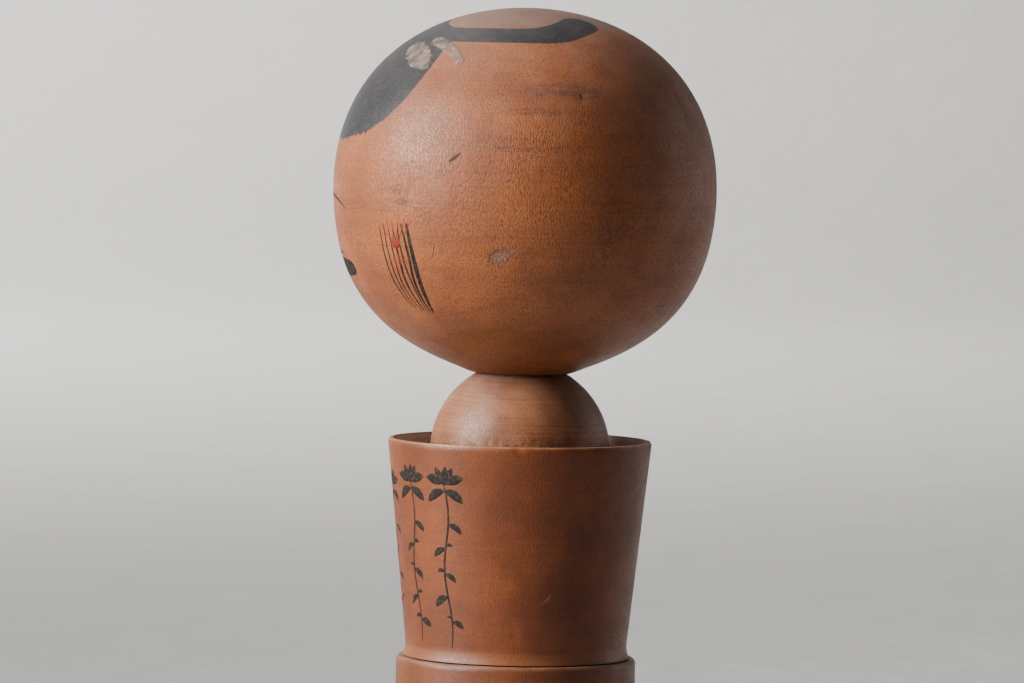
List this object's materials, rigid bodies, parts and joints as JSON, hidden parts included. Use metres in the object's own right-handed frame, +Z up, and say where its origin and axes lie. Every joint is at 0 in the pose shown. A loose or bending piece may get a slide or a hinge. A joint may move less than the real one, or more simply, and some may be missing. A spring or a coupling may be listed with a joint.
{
  "type": "kokeshi doll",
  "caption": "Turned wooden doll with a large ball head that turns on a hidden neck peg, a domed shoulder set in a hollowed cup-like upper body, and a stacked lower body.",
  "frame": {"origin": "centre of the foot, on the surface that the doll stands on", "axes": "+Z up along the turned axis; the painted face looks along -Y, so the doll's left side is +X"},
  "size_m": [0.115, 0.115, 0.303],
  "materials": {
    "head_wood": "satin waxed reddish-brown hardwood with fine lathe rings, painted black hair and small red marks beside it",
    "dome_wood": "satin paler reddish-brown hardwood",
    "upper_body_wood": "satin dark reddish-brown hardwood with short dark ray flecks and ink marks",
    "lower_body_wood": "satin dark reddish-brown hardwood with short dark ray flecks",
    "peg_wood": "bare turned hardwood",
    "dowel_wood": "bare turned hardwood",
    "hair_paint": "worn dry-brushed black paint",
    "red_paint": "faded red paint that has bled into the wood",
    "ink": "thin black brush ink soaked into the wood",
    "old_paper": "thin greyish scraps of old gummed paper"
  },
  "bodies": {
    "body": {"lower_body": "lower_body_wood", "upper_body": "upper_body_wood", "shoulder_dome": "dome_wood", "body_dowel": "dowel_wood"},
    "head": {"head": "head_wood", "neck_peg": "peg_wood"}
  },
  "joints": [
    {"name": "head_turn", "type": "hinge", "parent": "body", "child": "head", "pos_m": [0, 0, 0.1934], "axis": [0, 0, 1], "continuous": true}
  ]
}
